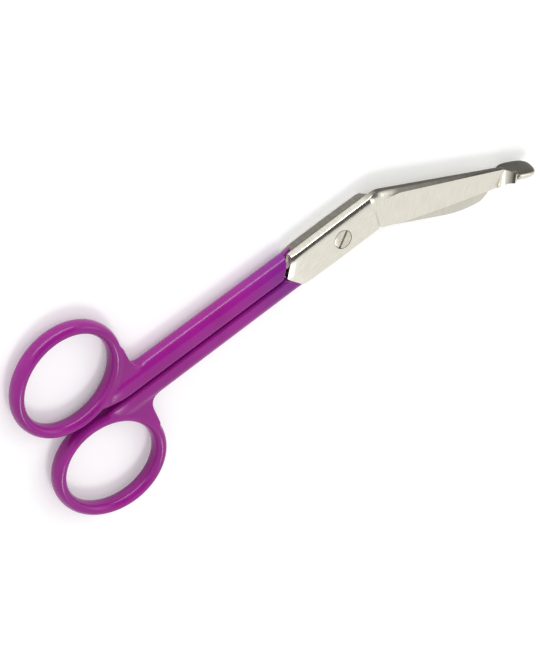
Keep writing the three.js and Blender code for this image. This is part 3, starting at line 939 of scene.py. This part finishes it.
coating_shader.inputs["Specular IOR Level"].default_value = 0.36

# %% [markdown]
# The steel is satin where a wheel or a belt went over it, and mirror-like on its rounded edges.
# Grinding leaves thousands of fine parallel marks, so the pattern is a noise drawn out along one
# direction. Two masks, stored on the faces, say where the steel is ground and where its colour is
# painted dark: painted dark reflection on faces towards the spine and on the lower half's walls,
# painted shade on the ramp to the button, and a little dark colour on the lower blade's inner face.
# A face knows its own direction and place.

# %% the grinding pattern
grinding, grind_in, grind_out = new_group(
    "grinding_marks",
    [("Vector", "NodeSocketVector", None), ("Turn", "NodeSocketFloat", 0.0),
     ("Fineness", "NodeSocketFloat", 7000.0), ("Length", "NodeSocketFloat", 220.0)],
    [("Height", "NodeSocketFloat"), ("Tone", "NodeSocketFloat"), ("Rough", "NodeSocketFloat")])
turned_by = grinding.nodes.new("ShaderNodeCombineXYZ")
grinding.links.new(grind_in.outputs["Turn"], turned_by.inputs["Z"])
turning = grinding.nodes.new("ShaderNodeVectorRotate")
turning.rotation_type = "EULER_XYZ"
grinding.links.new(grind_in.outputs["Vector"], turning.inputs["Vector"])
grinding.links.new(turned_by.outputs[0], turning.inputs["Rotation"])
stretch = grinding.nodes.new("ShaderNodeCombineXYZ")
grinding.links.new(grind_in.outputs["Fineness"], stretch.inputs["X"])
grinding.links.new(grind_in.outputs["Length"], stretch.inputs["Y"])
grinding.links.new(grind_in.outputs["Length"], stretch.inputs["Z"])
drawn_out = grinding.nodes.new("ShaderNodeVectorMath")
drawn_out.operation = "MULTIPLY"
grinding.links.new(turning.outputs[0], drawn_out.inputs[0])
grinding.links.new(stretch.outputs[0], drawn_out.inputs[1])
marks = grinding.nodes.new("ShaderNodeTexNoise")
marks.inputs["Scale"].default_value = 1.0
marks.inputs["Detail"].default_value = 4.0
marks.inputs["Roughness"].default_value = 0.65
grinding.links.new(drawn_out.outputs[0], marks.inputs["Vector"])
grinding.links.new(marks.outputs["Fac"], grind_out.inputs["Height"])
grinding.links.new(ramp(grinding, marks.outputs["Fac"], 0.3, 0.7), grind_out.inputs["Tone"])
grind_rough = math_node(grinding, "MULTIPLY_ADD", marks.outputs["Fac"], 0.16, -0.08)
grinding.links.new(grind_rough, grind_out.inputs["Rough"])

# %% masks on the faces
def face_places(piece):
    """Face centres and normals, in the blade-down drawing's millimetres over the mating plane."""
    count = len(piece.data.polygons)
    centre = np.zeros(count * 3)
    normal = np.zeros(count * 3)
    piece.data.polygons.foreach_get("center", centre)
    piece.data.polygons.foreach_get("normal", normal)
    centre = (centre.reshape(-1, 3) - np.array([0, 0, LIFT])) / MM
    return centre, normal.reshape(-1, 3)


def store_mask(piece, name, values):
    """One number for each face, which a material reads by name."""
    mask = piece.data.attributes.new(name, "FLOAT", "FACE")
    mask.data.foreach_set("value", np.clip(values, 0, 1).astype(np.float32))
    print(piece.name, name, round(float(values.mean()), 3))


def steel_masks(piece, wall_darkening):
    """Ground: nearly level faces. Painted dark: painted dark reflection on the blade's back and the
    button's skin side, which face the spine's direction, and, by the share given, on all the upright
    walls; painted shade on the ramp up to the button, darker higher up; and a little dark colour on
    the lower blade's inner face."""
    centre, normal = face_places(piece)
    spine_way = np.array([math.sin(BLADE_ANGLE), math.cos(BLADE_ANGLE), 0])
    to_spine = normal @ spine_way
    level = np.abs(normal[:, 2])
    on_the_blade = np.clip((centre[:, 0] - 9.0) / 4.0, 0, 1)
    # painted dark reflection on the blade's back and the button's skin side
    back = np.clip((to_spine - 0.35) / 0.4, 0, 1) * on_the_blade
    # painted grey reflection on the upright walls, as much as the share given
    walls = np.clip((0.5 - level) / 0.3, 0, 1) * wall_darkening
    store_mask(piece, "ground", np.clip((level - 0.9) / 0.06, 0, 1))
    along = centre[:, 0] * spine_way[1] - centre[:, 1] * spine_way[0]
    backward = np.clip(-normal @ np.array([spine_way[1], -spine_way[0], 0]) / 0.5, 0, 1)
    # painted shade on the ramp up to the button, darker higher up
    ramp_shade = backward * np.clip((centre[:, 2] - 1.2) / 1.6, 0, 1) * (np.abs(along - 47.5) < 3)
    # 0.22 of the dark colour on level faces below the mating plane: the lower blade's inner face
    sliding = 0.22 * (normal[:, 2] > 0.9) * (centre[:, 2] < 0) * (centre[:, 0] > 8)
    # the mask of painted dark reflection and painted shade, which the steel material reads by name
    store_mask(piece, "painted_dark", np.maximum.reduce([back, walls, ramp_shade, sliding]))


steel_masks(probe_steel, 0.0)
# the lower half's upright walls get painted grey reflection at 0.75
steel_masks(blunt_steel, 0.75)

# %% steel material
steel, steel_shader = new_material("surgical_steel")
tree = steel.node_tree
where = tree.nodes.new("ShaderNodeTexCoord").outputs["Object"]
cross_marks = place_group(tree, grinding, Turn=BLADE_ANGLE, Fineness=7000.0, Length=240.0)
plate_marks = place_group(tree, grinding, Turn=math.radians(80), Fineness=8000.0, Length=500.0)
tree.links.new(where, cross_marks.inputs["Vector"])
tree.links.new(where, plate_marks.inputs["Vector"])
ground_mask = tree.nodes.new("ShaderNodeAttribute")
ground_mask.attribute_name = "ground"
painted_dark_mask = tree.nodes.new("ShaderNodeAttribute")
painted_dark_mask.attribute_name = "painted_dark"
parts = tree.nodes.new("ShaderNodeSeparateXYZ")
tree.links.new(where, parts.inputs[0])
on_blade_share = ramp(tree, parts.outputs["X"], 0.0095, 0.0115)


def by_place(tree, share, plate_value, blade_value):
    """A plain number that goes from the plate's value to the blade's."""
    step = math_node(tree, "SUBTRACT", blade_value, plate_value)
    return math_node(tree, "MULTIPLY_ADD", step, share, plate_value)


tone = by_place(tree, on_blade_share, plate_marks.outputs["Tone"], cross_marks.outputs["Tone"])
height = by_place(tree, on_blade_share, plate_marks.outputs["Height"], cross_marks.outputs["Height"])
rough = by_place(tree, on_blade_share, plate_marks.outputs["Rough"], cross_marks.outputs["Rough"])
bright_steel = blend_colours(tree, tone, srgb(214, 210, 198), srgb(230, 226, 214))
# painted dark reflection and painted shade: the colours that the dark mask blends in
painted_dark_steel = blend_colours(tree, tone, srgb(74, 72, 66), srgb(96, 93, 85))
steel_colour = blend_colours(tree, painted_dark_mask.outputs["Fac"], bright_steel, painted_dark_steel)
tree.links.new(steel_colour, steel_shader.inputs["Base Color"])
satin = math_node(tree, "MULTIPLY_ADD", ground_mask.outputs["Fac"], 0.05, 0.25)
# the painted dark faces are also a little rougher
rougher_where_dark = math_node(tree, "MULTIPLY_ADD", painted_dark_mask.outputs["Fac"], 0.12, satin)
tree.links.new(math_node(tree, "ADD", rougher_where_dark, rough), steel_shader.inputs["Roughness"])
steel_shader.inputs["Metallic"].default_value = 1.0
steel_bump = tree.nodes.new("ShaderNodeBump")
steel_bump.inputs["Strength"].default_value = 0.15
steel_bump.inputs["Distance"].default_value = 0.00002
tree.links.new(height, steel_bump.inputs["Height"])
tree.links.new(steel_bump.outputs["Normal"], steel_shader.inputs["Normal"])

# %% [markdown]
# The screw was turned on a lathe, so its marks are fine circles round the joint's axis.

# %% screw material
turned_steel, turned_shader = new_material("turned_screw_steel")
tree = turned_steel.node_tree
where = tree.nodes.new("ShaderNodeTexCoord").outputs["Object"]
parts = tree.nodes.new("ShaderNodeSeparateXYZ")
tree.links.new(where, parts.inputs[0])
across_squared = math_node(tree, "MULTIPLY", parts.outputs["Y"], parts.outputs["Y"])
radius_squared = math_node(tree, "MULTIPLY_ADD", parts.outputs["X"], parts.outputs["X"], across_squared)
radius = math_node(tree, "SQRT", radius_squared)
circles = math_node(tree, "SINE", math_node(tree, "MULTIPLY", radius, 42000.0))
circle_share = math_node(tree, "MULTIPLY_ADD", circles, 0.5, 0.5)
screw_marks = place_group(tree, grinding, Turn=math.radians(-50), Fineness=2600.0, Length=900.0)
tree.links.new(where, screw_marks.inputs["Vector"])
half_circles = math_node(tree, "MULTIPLY", circle_share, 0.5)
worn = math_node(tree, "MULTIPLY_ADD", screw_marks.outputs["Tone"], 0.5, half_circles)
screw_colour = blend_colours(tree, worn, srgb(188, 184, 172), srgb(226, 222, 210))
tree.links.new(screw_colour, turned_shader.inputs["Base Color"])
tree.links.new(math_node(tree, "MULTIPLY_ADD", worn, 0.12, 0.2), turned_shader.inputs["Roughness"])
turned_shader.inputs["Metallic"].default_value = 1.0
screw_bump = tree.nodes.new("ShaderNodeBump")
screw_bump.inputs["Strength"].default_value = 0.2
screw_bump.inputs["Distance"].default_value = 0.00001
tree.links.new(circle_share, screw_bump.inputs["Height"])
tree.links.new(screw_bump.outputs["Normal"], turned_shader.inputs["Normal"])

# %% [markdown]
# Last, each piece gets its finish and its place in the mechanism. The screw goes with the lower
# half's body, and the upper half, which turns about the screw on the real scissors, has a body of its own.

# %% finishes, bodies and the CAD nodes they stand for
fitting = [(blunt_steel, steel, "steel", "blunt_side", "blunt_half"),
           (probe_steel, steel, "steel", "probe_side", "probe_half"),
           (blunt_handle, coating, "handle_coating", "blunt_side", "blunt_handle_coating"),
           (probe_handle, coating, "handle_coating", "probe_side", "probe_handle_coating"),
           (screw, turned_steel, "screw_steel", "blunt_side", "pivot_screw")]
for piece, material, slot_name, body, node in fitting:
    show(piece, material)
    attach(piece, body)
    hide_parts(node)

# %% sizes, and the end
visual_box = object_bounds()
sizes = {"cad": [list(corner) for corner in cad_box], "visual": [list(corner) for corner in visual_box]}
for label, corners in sizes.items():
    print(label, [[round(v / MM, 2) for v in corner] for corner in corners])
